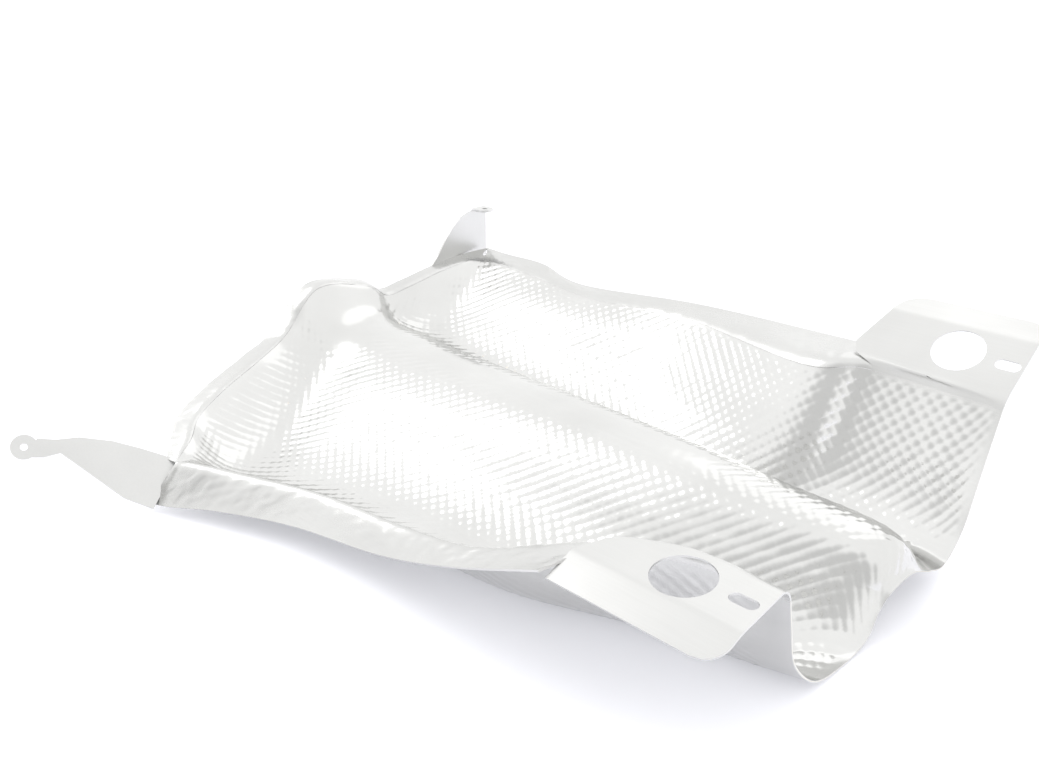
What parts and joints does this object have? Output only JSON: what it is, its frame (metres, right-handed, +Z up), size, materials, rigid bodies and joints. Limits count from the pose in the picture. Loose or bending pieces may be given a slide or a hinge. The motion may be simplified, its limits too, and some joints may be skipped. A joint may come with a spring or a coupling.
{
  "type": "exhaust heat shield",
  "caption": "Embossed aluminium exhaust heat shield: a two-trough tray with a middle ridge, smooth rims, two punched mounting flaps and two screw ears.",
  "frame": {"origin": "on the surface that the shield lies on, under the middle of its bounding box", "axes": "+X along the ridge towards the end with the two mounting flaps, +Y across the troughs towards the higher wall, +Z up, out of the open exhaust side"},
  "size_m": [0.4621, 0.4316, 0.1196],
  "materials": {
    "embossed_aluminium": "bright rolled aluminium sheet with an embossed dimple grid",
    "coined_aluminium": "satin aluminium, pressed flat along the edges",
    "flap_aluminium": "satin flat aluminium sheet with fine rolling lines",
    "ear_aluminium": "satin flat aluminium sheet with cut edges",
    "insulation_felt": "thin off-white glass-fibre felt, seen only at the cut edges"
  },
  "bodies": {
    "root": {"exhaust_side_skin": "embossed_aluminium", "insulation_core": "insulation_felt", "body_side_skin": "embossed_aluminium", "front_rim_flange": "coined_aluminium", "back_rim_flange": "coined_aluminium", "left_end_flange": "coined_aluminium", "front_mounting_flap": "flap_aluminium", "back_mounting_flap": "flap_aluminium", "front_ear": "ear_aluminium", "back_ear": "ear_aluminium"}
  },
  "joints": []
}
